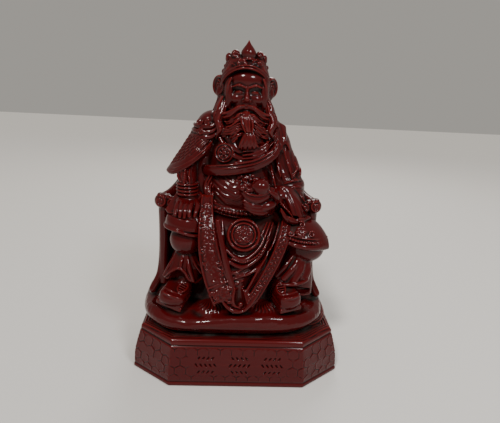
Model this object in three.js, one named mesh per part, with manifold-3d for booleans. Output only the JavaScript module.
// Cast resin figure of a seated dignitary: crown, long beard, robe, ingot in one hand,
// horseshoe armchair, rock ledge and chamfered plinth, all in one casting.
// Millimetres. +Z is up, the figure faces -Y and the origin is at the middle of the underside.
// Left and right are the viewer's, looking along +Y.

import * as THREE from 'three';
import { LoftGeometry } from 'three/addons/geometries/LoftGeometry.js';
import * as BufferGeometryUtils from 'three/addons/utils/BufferGeometryUtils.js';
import Module from 'manifold-3d';

// Driving dimensions
const HEIGHT = 198.5;
const PLINTH = {
  halfWidth: 64, halfDepth: 50, frontHalf: 40, sideHalf: 31,
  height: 30, lean: 5.4, lipDrop: 4.2, lipGroove: 0.9, footRim: 2.4, footGroove: 0.6,
};
const LEDGE = { x: -2.8, halfWidth: 57.2, halfDepth: 47, bottom: 34, rim: 38.8, top: 43.5, squareness: 0.62 };
const CHAIR = {
  x: -2, halfWidth: 48.2, front: -14, back: 36, seat: 74, armFront: 103.8, armBack: 134,
  rail: 3.8, panel: 5.5, finial: 4.5, recess: 1.6,
};
const HEAD = { x: 0.2, z: 171, halfWidth: 11.2, halfDepth: 12, halfHeight: 16.4 };
const CROWN = { x: -0.8, y: 1.2, bottom: 166.5, top: 189.6, lowHalf: 15.2, topHalf: 12.4, rise: 14.4 };
const MEDALLION = { x: 1, y: -38.2, z: 91.2, radius: 9.2, tilt: 0.4 };
const INSCRIPTION = { centres: [-18.2, 1.6, 20.8], z: 14.2, width: 12, height: 13, rows: 3, depth: 0.8 };
const RESIN = { color: 0x4a0d0b, roughness: 0.22, metalness: 0 };

const wasm = await Module();
wasm.setup();

// Solids from geometry

function signedVolume(positions, index) {
  const [a, b, c] = [new THREE.Vector3(), new THREE.Vector3(), new THREE.Vector3()];
  let sum = 0;
  for (let i = 0; i < index.length; i += 3) {
    a.fromArray(positions, 3 * index[i]);
    b.fromArray(positions, 3 * index[i + 1]);
    c.fromArray(positions, 3 * index[i + 2]);
    sum += a.dot(b.cross(c));
  }
  return sum;
}

// Welds a closed geometry and makes it a solid whose faces point out
function solid(geometry) {
  const plain = new THREE.BufferGeometry().copy(geometry);
  plain.deleteAttribute('normal');
  plain.deleteAttribute('uv');
  const welded = BufferGeometryUtils.mergeVertices(plain, 1e-5);
  const positions = new Float32Array(welded.attributes.position.array);
  const index = new Uint32Array(welded.index.array);
  if (signedVolume(positions, index) < 0) index.reverse();
  return new wasm.Manifold(new wasm.Mesh({ numProp: 3, vertProperties: positions, triVerts: index }));
}

function joined(parts) {
  return parts.flat(Infinity).reduce((whole, piece) => whole.add(piece));
}

function vec([x, y, z]) {
  return new THREE.Vector3(x, y, z);
}

// Ball or egg: centre, three half axes and a turn about X, Y and Z
function egg(centre, radii, turn = [0, 0, 0], around = 7, down = 4) {
  const geometry = new THREE.SphereGeometry(1, around, down);
  geometry.scale(...radii);
  geometry.rotateX(turn[0]);
  geometry.rotateY(turn[1]);
  geometry.rotateZ(turn[2]);
  geometry.translate(...centre);
  return solid(geometry);
}

// Ring of points about a centre, along two half axes, with pleats that swell it by a share of its size
function ring(centre, across, forward, { sides = 8, pleats = 0, depth = 0, phase = 0 } = {}) {
  return Array.from({ length: sides }, (_, i) => {
    const turn = (2 * Math.PI * i) / sides;
    const swell = 1 + depth * Math.cos(pleats * turn + phase);
    return vec(centre)
      .addScaledVector(vec(across), swell * Math.cos(turn))
      .addScaledVector(vec(forward), swell * Math.sin(turn));
  });
}

// Level ring with its own front and back half depths, squarer as the power falls below one
function level(x, y, z, halfWidth, front, back, options = {}) {
  const { sides = 12, power = 1, pleats = 0, depth = 0, phase = 0 } = options;
  return Array.from({ length: sides }, (_, i) => {
    const turn = (2 * Math.PI * i) / sides;
    const [c, s] = [Math.cos(turn), Math.sin(turn)];
    const swell = s < 0 ? 1 + depth * Math.cos(pleats * turn + phase) * -s : 1;
    const across = halfWidth * Math.sign(c) * Math.abs(c) ** power;
    const along = (s < 0 ? front : back) * Math.sign(s) * Math.abs(s) ** power * swell;
    return new THREE.Vector3(x + across, y + along, z);
  });
}

function middle(points) {
  return points.reduce((sum, point) => sum.add(point), new THREE.Vector3()).divideScalar(points.length);
}

// Skin over a row of rings with flat ends; the rings are turned to wind round the way from first to last
function loft(rings) {
  const [start, next] = [middle(rings[0]), middle(rings[1])];
  const winding = new THREE.Vector3();
  rings[0].forEach((point, i) => {
    const after = rings[0][(i + 1) % rings[0].length];
    winding.add(point.clone().sub(start).cross(after.clone().sub(start)));
  });
  if (winding.dot(next.sub(start)) < 0) rings.forEach((points) => points.reverse());
  return solid(new LoftGeometry(rings, { closed: true, capStart: true, capEnd: true }));
}

function mix(list, share) {
  const place = share * (list.length - 1);
  const i = Math.min(Math.floor(place), list.length - 2);
  return list[i].map((value, k) => value + (list[i + 1][k] - value) * (place - i));
}

// Strip or limb along a smooth path: half width and half thickness at even shares of it,
// the thickness facing outward
function sweep(path, sizes, outward, { steps = 4, sides = 5 } = {}) {
  const curve = new THREE.CatmullRomCurve3(path.map(vec));
  const rings = [];
  for (let i = 0; i <= steps; i++) {
    const point = curve.getPoint(i / steps);
    const along = curve.getTangent(i / steps);
    const side = new THREE.Vector3().crossVectors(along, vec(outward)).normalize();
    const face = new THREE.Vector3().crossVectors(side, along).normalize();
    const [width, thick] = mix(sizes, i / steps);
    const across = side.multiplyScalar(width).toArray();
    rings.push(ring(point.toArray(), across, face.multiplyScalar(thick).toArray(), { sides }));
  }
  return loft(rings);
}

// Closed outline pushed along an axis: points in the plane, placed by a matrix
function slab(points, thickness, matrix) {
  const shape = new THREE.Shape(points.map(([x, y]) => new THREE.Vector2(x, y)));
  const geometry = new THREE.ExtrudeGeometry(shape, { depth: thickness, bevelEnabled: false });
  return solid(geometry.applyMatrix4(matrix));
}

function turned(centre, [rx, ry, rz]) {
  const matrix = new THREE.Matrix4().makeRotationFromEuler(new THREE.Euler(rx, ry, rz, 'XYZ'));
  return matrix.setPosition(...centre);
}

function lathe(profile, matrix, segments = 12) {
  const geometry = new THREE.LatheGeometry(profile.map(([r, h]) => new THREE.Vector2(r, h)), segments);
  return solid(geometry.rotateX(Math.PI / 2).applyMatrix4(matrix));
}

// Plinth

function octagon(z, inset, lean) {
  const w = PLINTH.halfWidth - inset - lean;
  const d = PLINTH.halfDepth - inset - lean * 0.4;
  const f = PLINTH.frontHalf - (inset + lean) * 0.35;
  const s = PLINTH.sideHalf - (inset + lean) * 0.35;
  const corners = [[w, s], [f, d], [-f, d], [-w, s], [-w, -s], [-f, -d], [f, -d], [w, -s]];
  return corners.map(([x, y]) => new THREE.Vector3(x, y, z));
}

function plinth() {
  const { height, lean, lipDrop, lipGroove, footRim, footGroove } = PLINTH;
  const leanAt = (z) => lean * (z / height) ** 1.5;
  const steps = [
    [0, 0.7], [0.8, 0], [footRim, 0], [footRim + 0.5, footGroove], [footRim + 1.6, 0.1], [14, -0.5],
    [height - lipDrop - 0.8, 0], [height - lipDrop, lipGroove], [height - lipDrop + 0.8, 0],
    [height - 1.4, 0], [height, 1.3],
  ];
  return loft(steps.map(([z, inset]) => octagon(z, inset, leanAt(z))));
}

// Rows of shallow strokes in the front panel's three inscription places
function inscriptionCuts() {
  const { centres, z: middleHeight, width, height, rows, depth } = INSCRIPTION;
  const cuts = [];
  for (const [column, centre] of centres.entries()) {
    for (let row = 0; row < rows; row++) {
      const z = middleHeight + height * ((row + 0.5) / rows - 0.5);
      const stroke = new THREE.BoxGeometry(width * (0.7 + 0.25 * Math.cos(2.1 * row + column)), 2 * depth, 1);
      stroke.rotateY(0.1 * Math.sin(3 * row + 2 * column));
      stroke.translate(centre, -PLINTH.halfDepth - 0.3 + PLINTH.lean * 0.4 * (z / PLINTH.height) ** 1.5, z);
      cuts.push(solid(stroke));
    }
  }
  return joined(cuts);
}

// Ledge of rock

function ledge() {
  const { x, halfWidth, halfDepth, bottom, rim, top, squareness } = LEDGE;
  const options = { sides: 20, power: squareness };
  const at = (z, inset) => level(x, 0, z, halfWidth - inset, halfDepth - inset, halfDepth - 3 - inset, options);
  const rock = [
    at(PLINTH.height - 1, 6), at(bottom, 1.6), at(bottom + 2, 0), at(rim, 0.4), at(rim + 2.4, 3), at(top, 10),
  ];
  const tier = [[-1, 0.4], [2, 0], [4.6, 1.6]].map(([rise, inset]) =>
    level(0, 2, PLINTH.height + rise, 58.4 - inset, 40 - inset, 42 - inset, { sides: 10, power: 0.6 }));
  const mounds = [-15, 15].map((across) => egg([across, -34, 41.5], [12.5, 9, 7], [0, 0, 0], 8, 5));
  return [loft(rock), loft(tier), mounds];
}

// Armchair

function chairBase() {
  const { x, halfWidth, seat } = CHAIR;
  const options = { sides: 14, power: 0.62 };
  const heights = [
    [38, 9, 25, 38], [43, 8, 24, 37.5], [47, 6, 21, 36.5], [53, 2.6, 17, 35.5], [62, -3, 15, 34.5],
    [seat, -9, 14.5, 33],
  ];
  return loft(heights.map(([z, grow, front, back]) =>
    level(x, 0, z, halfWidth + grow, front, back, options)));
}

// Horseshoe in plan, arms forward, set in from the chair's outside
function horseshoe(inset, points = 6) {
  const { x, front, back, halfWidth } = CHAIR;
  const waist = 6;
  const side = [[1, front], [0.98, front + 5], [0.88, -2]];
  const arc = Array.from({ length: points + 1 }, (_, i) => {
    const turn = (Math.PI * i) / points;
    return [0.8 * Math.cos(turn), waist + (back - waist - inset) * Math.sin(turn)];
  });
  const mirrored = side.map(([share, y]) => [-share, y]).reverse();
  return [...side, ...arc, ...mirrored].map(([share, y]) => [x + share * (halfWidth - inset), y]);
}

function chairWalls() {
  const { x, front, back, armFront, armBack, panel, recess } = CHAIR;
  const bottom = 50;
  const outline = [...horseshoe(0), ...horseshoe(panel).reverse()];
  const walls = slab(outline, armBack - bottom, turned([0, 0, bottom], [0, 0, 0]));
  const side = [[front - 5, bottom - 1], [front - 5, armFront], [2, armFront + 3], [16, armFront + 12],
    [back - 8, armBack - 6], [back + 4, armBack], [back + 4, bottom - 1]];
  const slope = slab(side, 120, turned([x - 60, 0, 0], [Math.PI / 2, Math.PI / 2, 0]));
  const window = [[-20, 0], [20, 0], [20, 34], [12, 42], [0, 45], [-12, 42], [-20, 34]];
  const backRecess = slab(window, 8, turned([x, back + 8 - recess, 66], [Math.PI / 2, 0, 0]));
  return walls.intersect(slope).subtract(backRecess);
}

function chairRail() {
  const { x, front, back, armFront, armBack, rail, finial, halfWidth } = CHAIR;
  const w = halfWidth - 1;
  const arm = [
    [1, front + 1, armFront], [0.88, -4, armFront + 2.6], [0.76, 9, armFront + 9], [0.6, back - 10, armBack - 8],
  ];
  const side = (hand) => arm.map(([share, y, z]) => [x + hand * share * w, y, z]);
  const path = [...side(-1), [x, back - 2, armBack], ...side(1).reverse()];
  const ends = [-1, 1].map((hand) => [
    egg([x + hand * (w - 0.4), front + 0.5, armFront - 0.2], [finial, finial + 0.8, finial], [0, 0, 0], 7, 5),
    egg([x + hand * (w - 6.6), front - 1, armFront - 0.8], [3.3, 3.4, 4], [0, 0, 0], 6, 4),
  ]);
  return [sweep(path, [[rail, rail], [rail, rail]], [0, 0, 1], { steps: 12 }), ends];
}

// Body and robe, from the lap to the hair under the crown

function torso() {
  const heights = [
    [64, 31, 20, 30, -1], [84, 31, 25, 30, -1], [97, 27.5, 24.6, 28, -1.6], [107, 25.5, 24.5, 26.5, -2.5],
    [116, 25.5, 23, 26, -2.5], [124, 25, 18.6, 26, -1.6], [140, 24.5, 14.5, 25.5, -0.8], [150, 22.5, 12, 22, -1],
    [157, 20, 10.5, 17.5, -1], [163, 17.4, 9.5, 15.5, -1.2], [172, 14.6, 7.5, 14.8, -1],
  ];
  return loft(heights.map(([z, halfWidth, front, back, x]) =>
    level(x, 2, z, halfWidth, front, back, { pleats: 4, depth: 0.02 })));
}

function sash() {
  const band = [[-26, -5, 122.6], [-22, -13, 123.4], [-13, -18.8, 124.6], [-2, -20, 126.4], [8, -18.4, 129],
    [16.4, -15, 134], [21.6, -9.6, 142], [21.8, -1, 150]];
  const collar = [[-15, -6.4, 152], [-10, -12.8, 143], [-3, -15, 136], [4, -14.8, 139], [11, -11.6, 147]];
  return [
    sweep(band, [[2.6, 1.1], [3, 1.4], [3.1, 1.5], [3.3, 1.8], [3.4, 2]], [0, -1, 0.1], { steps: 6 }),
    sweep(collar, [[1.6, 1], [1.9, 1.1], [1.6, 1]], [0, -1, 0.3]),
  ];
}

// Belt under the belly
function belt() {
  const path = [
    [-24, -10, 107], [-18, -19, 103.5], [-8, -23.6, 101.4], [3, -24, 100.8], [14, -20.5, 101.6], [22, -13, 104],
  ];
  return sweep(path, [[1.8, 1.3], [2, 1.4], [1.8, 1.3]], [0, -1, 0], { steps: 5 });
}

// Over-sleeve of the left shoulder: a pointed bell with a hollow hem
function leftCape() {
  const options = { sides: 12, pleats: 4, depth: 0.03 };
  const rings = [
    ring([-13, 3, 157.5], [-6, 0, -1], [0, -7, 0], options),
    ring([-19, 2.5, 153.5], [-9, 0, -2], [0, -10.5, 0], options),
    ring([-23, 1.5, 146.5], [-11.2, 0, -4], [0.5, -12.5, 0], options),
    ring([-28.3, 0, 138], [-12.2, 0.5, -6.2], [1, -13.8, -0.6], options),
    ring([-33.8, -2.1, 128.2], [-14, 1, -7.4], [1, -14, -2.4], options),
  ];
  const hollow = loft([
    ring([-30.5, -1, 133], [-9.6, 0.6, -5.6], [0.8, -9.6, -1]),
    ring([-34.4, -2.3, 126.2], [-12.4, 1, -7.1], [1, -12.4, -2.1]),
  ]);
  const cap = egg([-22.6, 0.5, 152.6], [7.6, 9.5, 5], [0, -0.62, 0], 8, 5);
  const edge = [
    [-46.8, -3, 120.4], [-42.4, -11.5, 120.8], [-34, -16.6, 125.6], [-25.4, -16, 132.6], [-20.6, -10.6, 137.8],
  ];
  const hem = sweep(edge, [[1.3, 1], [1.6, 1.1], [1.3, 1]], [-0.4, -0.85, 0.2], { steps: 5 });
  return [loft(rings).subtract(hollow), cap, hem];
}

function leftArm() {
  const forearm = sweep([[-30, 0, 136], [-33.6, -8, 124], [-33.4, -15, 115.5], [-32, -20.5, 107.5]],
    [[6, 6], [5.8, 5.8], [5.4, 5.4], [5, 4.6]], [0, -0.6, 0.8], { steps: 3, sides: 8 });
  const bracers = [0, 1].map((i) => {
    const outline = ring([-32.9 + 0.4 * i, -16 - 1.8 * i, 114.4 - 2.9 * i], [6, 0, 0], [0, -5.2, -3.2]);
    return loft([outline, outline.map((point) => point.clone().add(vec([0.1, -0.6, -1.6])))]);
  });
  const palm = egg([-33.2, -23.6, 104.8], [7, 6, 3.4], [0.5, 0, 0.35]);
  const reach = [0, -0.5, 1];
  const fingers = [0, 1, 2, 3].map((i) =>
    sweep([[-37.2 + 2.5 * i, -26, 104.8], [-39.4 + 2.5 * i, -30.6, 102.6], [-41 + 2.6 * i, -34.4, 98.8]],
      [[1.8, 1.7], [1.7, 1.6], [1.1, 1.1]], reach, { steps: 2, sides: 4 }));
  const thumb = sweep([[-28.4, -23.6, 105.8], [-27.2, -28, 103.8], [-27.6, -31.8, 101]],
    [[1.9, 1.8], [1.7, 1.6], [1.1, 1.1]], reach, { steps: 2, sides: 4 });
  return [forearm, bracers, palm, fingers, thumb];
}

// Sleeve of the right shoulder, with its drape over the forearm
function rightSleeve() {
  const upper = sweep([[12, 2, 152.4], [17.6, 1.5, 144.6], [22.4, 0, 133], [26.6, -3, 121], [28.4, -8, 111]],
    [[6.6, 8], [8.8, 10.6], [9.6, 11.2], [10.6, 11], [9.4, 9]], [0, -1, 0], { steps: 5, sides: 8 });
  const elbow = egg([29.8, -4, 113.4], [9.8, 9.6, 8.6]);
  const forearm = sweep([[29, -6, 112], [23.5, -15, 110.2], [15, -25.4, 107.8]],
    [[8.2, 7.6], [6.6, 6], [4.4, 3.8]], [0, 0, 1], { steps: 2, sides: 8 });
  const options = { sides: 12, pleats: 4, depth: 0.07 };
  const drape = loft([
    ring([28.4, -10, 113], [9.4, 2, -2], [-2, -8.5, 3], options),
    ring([32, -15, 105.6], [8.8, 2, -3.4], [-2.4, -8, 3], options),
    ring([35, -20, 97.6], [7.2, 1.4, -3], [-3, -6, 2], options),
  ]);
  const cuff = sweep([[22.6, -28.4, 103.6], [27, -29.4, 98.8], [33.2, -27.2, 97], [40, -21.4, 97.8]],
    [[1.3, 2.2], [2, 2.6], [2, 2.6], [1.4, 2]], [-0.3, -0.8, 0.5], { steps: 3 });
  const foldSizes = [[0.8, 0.9], [1.4, 1.5], [0.8, 0.9]];
  const folds = [
    [[28, -18.4, 114], [33, -21, 107.4], [38, -22.6, 100.4]],
    [[32.6, -11.4, 127.6], [31.4, -13.6, 123.4], [28.6, -14, 118.8]],
    [[25, -15.6, 117.4], [31.4, -14.8, 119.6], [38, -9.8, 118.6]],
  ].map((path) => sweep(path, foldSizes, [0.3, -0.9, 0.2], { steps: 2, sides: 4 }));
  return [upper, elbow, forearm, drape, cuff, folds];
}

// Right hand under a boat-shaped ingot with a ball in it
function rightHand() {
  const palm = egg([11.6, -28.6, 106.8], [8.2, 6.6, 4.4], [0.15, -0.2, 0]);
  const fingers = [0, 1, 2].map((i) => {
    const rise = 1.9 * i;
    const path = [
      [15 - 0.8 * i, -30, 104.2 + rise], [8 - 0.8 * i, -34.6, 103.6 + rise], [1.4 - 0.4 * i, -34.2, 106.2 + rise],
    ];
    return sweep(path, [[1.5, 1.5], [1.5, 1.5], [1.1, 1.1]], [0, -1, -0.3], { steps: 2, sides: 4 });
  });
  const thumb = sweep([[18.8, -27, 107.6], [18.8, -31.4, 111.2], [15, -34.4, 115.2]],
    [[2.2, 2], [2, 1.9], [1.3, 1.2]], [0.7, -0.7, 0], { steps: 2 });
  return [palm, fingers, thumb];
}

function ingot() {
  const stations = [
    [-8.8, 5.4, 1.3, 1], [-5.6, 2, 3.8, 2.8], [0, 0.1, 5.4, 3.9], [5.6, 2, 3.8, 2.8], [8.8, 5.4, 1.3, 1],
  ];
  const hull = loft(stations.map(([along, lift, deep, high]) =>
    ring([7.2 + along, -31.4, 111 + lift], [0, deep, 0], [-0.16 * along, 0, high])));
  const ball = egg([9.8, -32.4, 117.8], [5, 5, 5], [0, 0, 0], 9, 6);
  const jewels = [0, 1].map((i) => egg([1 + 2.6 * i, -31.8, 118.4 - 0.6 * i], [2.1, 2.1, 2.1], [0, 0, 0], 5, 4));
  return [hull, ball, jewels];
}

// Legs and boots

function leftLeg() {
  const thigh = egg([-24, -8, 85.6], [13, 21, 10.5], [0, 0, 0.5]);
  const cap = egg([-33, -24, 93.2], [11.6, 10.6, 8.6], [-0.16, 0, 0], 9, 5);
  const lip = loft([[93.4, 11.2], [91.8, 12.2], [90.2, 11.4]].map(([z, size]) =>
    ring([-33.2, -24.8, z], [size, 0, 0], [0, -size, -1], { sides: 10 })));
  const knee = egg([-32.2, -25.6, 85], [10, 9.6, 9.2], [0, 0, 0], 9, 5);
  const options = { sides: 10, pleats: 4, depth: 0.07, phase: 0.8 };
  const trouser = loft([
    ring([-32.2, -23.4, 80], [7, 0, 0], [0, -7, 0], options),
    ring([-33, -24.2, 70], [9.4, 0, 0.2], [0, -8.8, 0], options),
    ring([-34.6, -25.4, 60.6], [11.4, 0, -0.6], [0, -10, 0.6], options),
  ]);
  return [thigh, cap, lip, knee, trouser];
}

function rightLeg() {
  const thigh = egg([24, -6, 86.4], [13, 21, 10.5], [0, 0, -0.5]);
  const stations = [
    [24.6, -20, 91.2, 8, 5], [30, -21.4, 90.8, 12, 7.4], [37, -22, 90.2, 13.6, 8.2], [44, -22, 88.2, 12, 7.2],
    [49.6, -22.6, 85.6, 7.6, 4.4], [53, -24, 83.2, 2.4, 1.6],
  ];
  const flap = loft(stations.map(([x, y, z, deep, high]) =>
    ring([x, y, z], [0, -deep, -0.25 * deep], [0, 0.15 * high, high], { sides: 9 })));
  const edge = [[26.6, -34, 86.2], [32.6, -36.6, 85], [39.6, -36.2, 84], [46.6, -31.8, 83], [52, -25.4, 82.4]];
  const lip = sweep(edge, [[1.2, 1], [1.6, 1.4], [1.7, 1.4], [1.1, 1]], [0.2, -1, 0]);
  const bowl = egg([39, -23.6, 80.8], [11.8, 10.6, 9.4], [0, 0.14, 0], 9, 5);
  const options = { sides: 10, pleats: 4, depth: 0.07, phase: 2 };
  const trouser = loft([
    ring([35.6, -23, 78], [7.4, 0, 0], [0, -7.6, 0], options),
    ring([33.6, -24.4, 69], [9.8, 0, 0.8], [0, -8.8, 0], options),
    ring([31.6, -26, 61], [10.8, 0, 1.8], [0, -9.6, 0], options),
  ]);
  const hem = loft([
    ring([38.6, -19, 70], [6, 1, 0], [-1, 5, 0]),
    ring([39.2, -20.6, 60], [7, 2.4, 0], [-1, 4.4, 0]),
    ring([39.2, -22, 52], [6.6, 3.4, -0.8], [-1, 4, 0]),
  ]);
  return [thigh, flap, lip, bowl, trouser, hem];
}

// Boot along a line from the heel: centre, half width across and half height of each ring
function boot(line, across) {
  const rings = (grow, drop, high) => line.map(([x, y, z, wide, tall]) =>
    ring([x, y, z - drop * tall], vec(across).multiplyScalar(wide + grow).toArray(), [0, 0, high ?? tall]));
  return [loft(rings(0, 0)), loft(rings(0.8, 0.82, 1.3))];
}

function boots() {
  const left = boot([[-26, -26, 55, 4.6, 5.4], [-31, -29.4, 55.4, 6.2, 6.4], [-39, -33.4, 53.4, 6.8, 5.8],
    [-45.4, -36.4, 52, 5.6, 4.2], [-47.6, -37.4, 51.2, 3.4, 2.6]], [-0.5, 0.86, -0.1]);
  const right = boot([[23.6, -26, 57.4, 5, 6], [25.2, -30.4, 58, 6.4, 6.8], [28.2, -36.6, 54.8, 6.8, 6],
    [31, -42, 51, 5.6, 4.2], [31.8, -43.8, 50, 3.6, 2.6]], [0.92, 0.4, 0.1]);
  return [left, right];
}

// Robe front: a pleated apron from the lap down to its rounded tip
function apron() {
  const options = { sides: 15, pleats: 5, depth: 0.04 };
  const heights = [
    [106, -1.6, 20, -8, 14], [100.5, -0.6, 25, -8, 19], [95, 0.8, 26.6, -8, 25], [86, 0.4, 25.6, -8, 30],
    [70, -2.6, 20, -10, 31], [60, -4.4, 16, -14, 28], [51, -2.6, 9.6, -20, 22.6], [45.8, -0.2, 3.4, -24, 18.8],
  ];
  return loft(heights.map(([z, x, halfWidth, y, front]) => level(x, y, z, halfWidth, front, 10, options)));
}

function apronTrim() {
  const rightEdge = [
    [26, -27.5, 96], [24.4, -34, 88.5], [19.4, -38.4, 76.6], [12.8, -41, 64], [6.6, -42.6, 53.6], [0.4, -43.4, 47.6],
    [-3.6, -43, 50],
  ];
  const lappet = [
    [-21, -16, 116], [-21, -23, 106], [-20.4, -32, 94], [-18.6, -37.4, 82], [-15.6, -40, 70], [-11.4, -42.4, 59.4],
    [-8.4, -43.4, 53.4],
  ];
  const swags = [0, 1, 2].map((i) => {
    const drop = 6.6 * i;
    const spread = 14 + 1.2 * i;
    const path = [
      [-spread + 1, -35.6, 91 - drop], [-spread * 0.66, -38.8, 82.4 - drop], [0.8, -41, 77 - drop],
      [spread * 0.72, -39, 83 - drop], [spread + 1, -35.4, 92 - drop],
    ];
    const sizes = [[0.8, 0.9], [1.3, 1.8], [1.4, 2], [1.3, 1.8], [0.8, 0.9]];
    return sweep(path, sizes, [0, -1, 0.2], { sides: 4 });
  });
  return [
    sweep(rightEdge, [[2.6, 1.4], [3, 1.6], [3, 1.6], [2.4, 1.5]], [0, -1, 0.1], { steps: 6 }),
    sweep(lappet, [[2, 1.6], [3.6, 2], [5.6, 2.2], [6.6, 2.2], [7, 2.2]], [0, -1, 0.2], { steps: 5 }),
    swags,
  ];
}

function medallion() {
  const { x, y, z, radius, tilt } = MEDALLION;
  const profile = [[0, -4], [radius, -4], [radius + 0.2, 0.4], [radius - 0.8, 1], [radius - 1.8, 0.2], [0, 0.8]];
  return lathe(profile, turned([x, y, z], [Math.PI / 2 - tilt, 0, 0]), 12);
}

// Head, beard and crown

function face() {
  const { x, z, halfWidth, halfDepth, halfHeight } = HEAD;
  const front = -halfDepth;
  const skull = egg([x, 0.4, z], [halfWidth, halfDepth, halfHeight], [0, 0, 0], 10, 6);
  const brows = [-1, 1].map((hand) => {
    const path = [[1.2, -0.4, 0.6], [4.6, 0.6, 1.6], [8.4, 3.6, 0.2]]
      .map(([across, out, rise]) => [x + across * hand, front + out, z + rise]);
    return sweep(path, [[0.9, 1], [1.1, 1.2], [0.6, 0.8]], [0, -1, 0], { steps: 2, sides: 4 });
  });
  const nose = loft([[0.4, 1, 1, 1.1], [-3.6, -0.2, 2, 1.7], [-6.4, -0.5, 2.6, 2.7], [-7.8, 0.6, 1.6, 1.6]]
    .map(([rise, out, deep, wide]) =>
      ring([x, front + out, z + rise], [wide, 0, 0], [0, deep, 0], { sides: 6 })));
  const cheeks = [-1, 1].map((hand) => egg([x + 5.2 * hand, front + 4.6, z - 6.6], [4, 3.4, 3.8]));
  const lids = [-1, 1].map((hand) =>
    egg([x + 4.4 * hand, front + 1.8, z - 2.2], [2.2, 1.6, 1.1], [0, 0, 0], 5, 4));
  const lip = egg([x, front + 0.6, z - 12.6], [2.6, 1.6, 1.1], [0, 0, 0], 5, 4);
  return [skull, brows, nose, cheeks, lids, lip];
}

// Beard: two wavy lobes beside a narrower tuft, moustache wisps and a lock on each shoulder
function beard() {
  const heights = [[164, 10.8, 10.6, 8], [158, 12.8, 13.6, 8], [152, 13.8, 16.8, 8], [147.4, 12, 16.4, 8]];
  const bib = loft(heights.map(([z, halfWidth, front, back]) =>
    level(HEAD.x, 0, z, halfWidth, front, back)));
  const lobes = [-1, 1].map((hand) => [0, 1].map((i) =>
    sweep([[hand * (4 + 4.6 * i), -15.4 + 2 * i, 154], [hand * (5.4 + 5.2 * i), -17.2 + 2.6 * i, 148],
      [hand * (4.2 + 4.6 * i), -15 + 2.8 * i, 141.2 + 1.2 * i]],
    [[2.6, 1.9], [2.9, 2.1], [0.8, 0.7]], [0, -1, 0], { steps: 2 })));
  const tuft = loft([[150, 3.6, -13.6, 3.6], [143, 5.6, -14.8, 3.8], [137, 5.4, -15, 3.2], [133.4, 2.8, -15, 1.8]]
    .map(([z, wide, y, deep]) => ring([1.2, y, z], [wide, 0, 0], [0, deep, 0], { sides: 6 })));
  const moustache = [-1, 1].map((hand) => {
    const path = [
      [0.4 * hand, -12.8, 161.4], [4.6 * hand, -14.4, 160.2], [8.8 * hand, -14, 156.6], [13.4 * hand, -10.6, 156],
    ];
    return sweep(path, [[1.3, 1.2], [1.8, 1.6], [1.5, 1.4], [0.6, 0.6]], [0, -1, 0], { steps: 3 });
  });
  const locks = [-1, 1].map((hand) =>
    sweep([[hand * 13.6, -8, 158], [hand * 16, -11, 152.4], [hand * 14.6, -12.6, 147.4], [hand * 17, -10.8, 143]],
      [[2.6, 1.8], [2.8, 2], [2.2, 1.7], [0.8, 0.6]], [0, -1, 0], { steps: 3 }));
  return [bib, lobes, tuft, moustache, locks];
}

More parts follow.
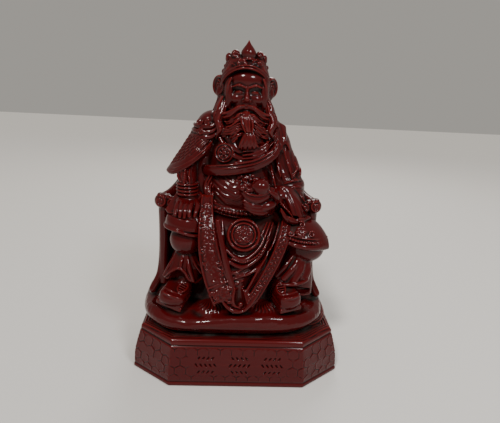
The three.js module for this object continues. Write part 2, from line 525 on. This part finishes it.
function crown() {
  const { x, y, bottom, top, lowHalf, topHalf, rise } = CROWN;
  const sides = 16;
  // The lower rim rises over the forehead and falls beside the face
  const band = (share, grow) => {
    const half = lowHalf + (topHalf - lowHalf) * Math.max(0, share - 0.35) / 0.65 + grow;
    return level(x, y, 0, half, half, half, { sides }).map((point, i) => {
      const arch = rise * Math.max(0, -Math.sin((2 * Math.PI * i) / sides)) ** 0.8;
      return point.setZ(bottom + arch + (top - bottom - arch) * share);
    });
  };
  const cap = level(x, y, top + 1.6, topHalf - 4.6, topHalf - 4.6, topHalf - 4.6, { sides });
  const rings = [band(-0.06, -1.6), band(0, 0.4), band(0.15, 0.4), band(0.2, 0), band(1, -0.2), cap];
  const curls = [-2, -1, 1, 2].map((i) => {
    const turn = Math.PI * (1.5 + i * 0.24);
    const reach = topHalf - 2;
    const centre = [x + reach * Math.cos(turn), y + reach * Math.sin(turn), top + 1.4 - 0.9 * Math.abs(i)];
    return egg(centre, [2.3, 2.3, 2.3], [0, 0, 0], 6, 4);
  });
  const jewel = lathe([[0, 0], [2.2, 0.4], [3.9, 2.6], [4, 4], [2.6, 6.6], [0, HEIGHT - top + 1.4]],
    turned([x + 1, y - 9.4, top - 1.4], [0, 0, 0]), 8);
  const flowers = [[-3.6, 185.6, 3], [7.6, 184.8, 2.4]].map(([across, z, size]) => {
    const out = -Math.sqrt(13.2 ** 2 - across ** 2);
    const turn = Math.atan2(across, -out);
    const place = turned([x + across, y + out, z], [0, 0, turn]).multiply(turned([0, 0, 0], [Math.PI / 2, 0, 0]));
    return lathe([[0, -1.5], [size, -1.5], [size, 0.6], [0, 1.4]], place, 6);
  });
  return [loft(rings), curls, jewel, flowers];
}

// Round scroll over each ear
function earScrolls() {
  const profile = [[0, -3.4], [5.2, -3.4], [6.3, -0.6], [5.6, 1.3], [3.6, 0.2], [0, 1.2]];
  return [[-16.4, -1], [15.2, 1]].map(([x, hand]) => {
    const place = turned([x, 0.6, 173], [0, 0, hand * 0.95]).multiply(turned([0, 0, 0], [Math.PI / 2, 0, 0]));
    return lathe(profile, place, 8);
  });
}

// Whole figurine

const whole = joined([
  plinth(), ledge(), chairBase(), chairWalls(), chairRail(), torso(), sash(), belt(), leftCape(), leftArm(),
  rightSleeve(), rightHand(), ingot(), leftLeg(), rightLeg(), boots(), apron(), apronTrim(), medallion(),
  face(), beard(), crown(), earScrolls(),
]).subtract(inscriptionCuts());

const mesh = whole.getMesh();
const geometry = new THREE.BufferGeometry();
geometry.setAttribute('position', new THREE.BufferAttribute(new Float32Array(mesh.vertProperties), 3));
geometry.setIndex(new THREE.BufferAttribute(new Uint32Array(mesh.triVerts), 1));
geometry.computeVertexNormals();

const statue = new THREE.Mesh(geometry, new THREE.MeshStandardMaterial(RESIN));
statue.name = 'statue';

const figurine = new THREE.Group();
figurine.add(statue);

export default figurine;
